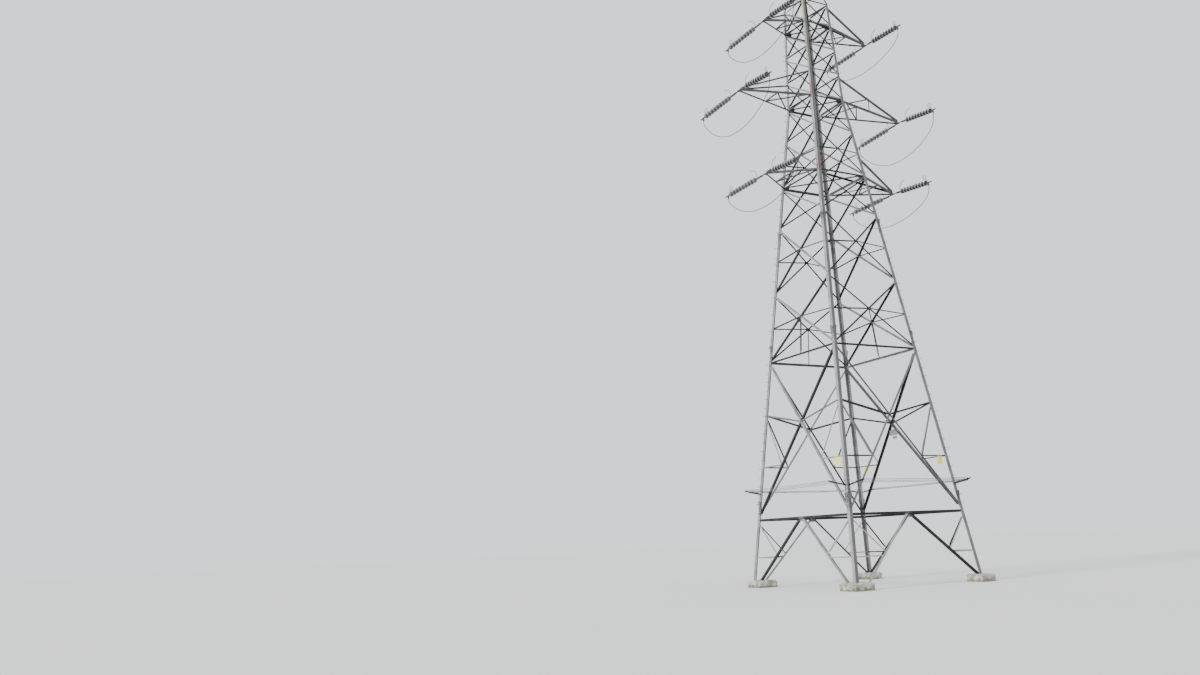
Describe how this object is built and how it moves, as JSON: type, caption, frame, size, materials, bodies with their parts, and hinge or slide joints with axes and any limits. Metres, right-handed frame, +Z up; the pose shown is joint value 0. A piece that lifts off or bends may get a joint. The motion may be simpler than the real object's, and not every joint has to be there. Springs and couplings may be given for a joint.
{
  "type": "lattice transmission tower",
  "caption": "Free-standing steel lattice tower that holds two circuits of overhead line on six crossarms at a bend, with tension insulators and an earth wire peak.",
  "frame": {"origin": "on the ground, on the tower's vertical axis", "axes": "+Z up, +X along the longer crossarms on the outside of the line's bend, +Y along the line"},
  "size_m": [9.9278, 7.4008, 28.7],
  "materials": {
    "tower_steel": "weathered",
    "concrete": "rough",
    "discs": "glossy",
    "fittings": "galvanised",
    "line_wire": "weathered"
  },
  "bodies": {
    "root": {"arm_upper_chords": "tower_steel", "base_bracing_back": "tower_steel", "base_bracing_front": "tower_steel", "base_bracing_left": "tower_steel", "base_bracing_right": "tower_steel", "bottom_arm_left": "tower_steel", "bottom_arm_right": "tower_steel", "bottom_jumper_left": "line_wire", "bottom_jumper_right": "line_wire", "earth_wire_peak": "tower_steel", "foundation_caps": "concrete", "guard_brackets": "tower_steel", "guard_wires": "tower_steel", "insulator_strings": "discs", "leg_back_left": "tower_steel", "leg_back_right": "tower_steel", "leg_front_left": "tower_steel", "leg_front_right": "tower_steel", "line_clamps": "fittings", "lower_bracing_back": "tower_steel", "lower_bracing_front": "tower_steel", "lower_bracing_left": "tower_steel", "lower_bracing_right": "tower_steel", "middle_arm_left": "tower_steel", "middle_arm_right": "tower_steel", "middle_bracing_back": "tower_steel", "middle_bracing_front": "tower_steel", "middle_bracing_left": "tower_steel", "middle_bracing_right": "tower_steel", "middle_jumper_left": "line_wire", "middle_jumper_right": "line_wire", "plan_bracing": "tower_steel", "string_links": "fittings", "top_arm_left": "tower_steel", "top_arm_right": "tower_steel", "top_bracing_back": "tower_steel", "top_bracing_front": "tower_steel", "top_bracing_left": "tower_steel", "top_bracing_right": "tower_steel", "top_jumper_left": "line_wire", "top_jumper_right": "line_wire", "upper_bracing_back": "tower_steel", "upper_bracing_front": "tower_steel", "upper_bracing_left": "tower_steel", "upper_bracing_right": "tower_steel"}
  },
  "joints": []
}
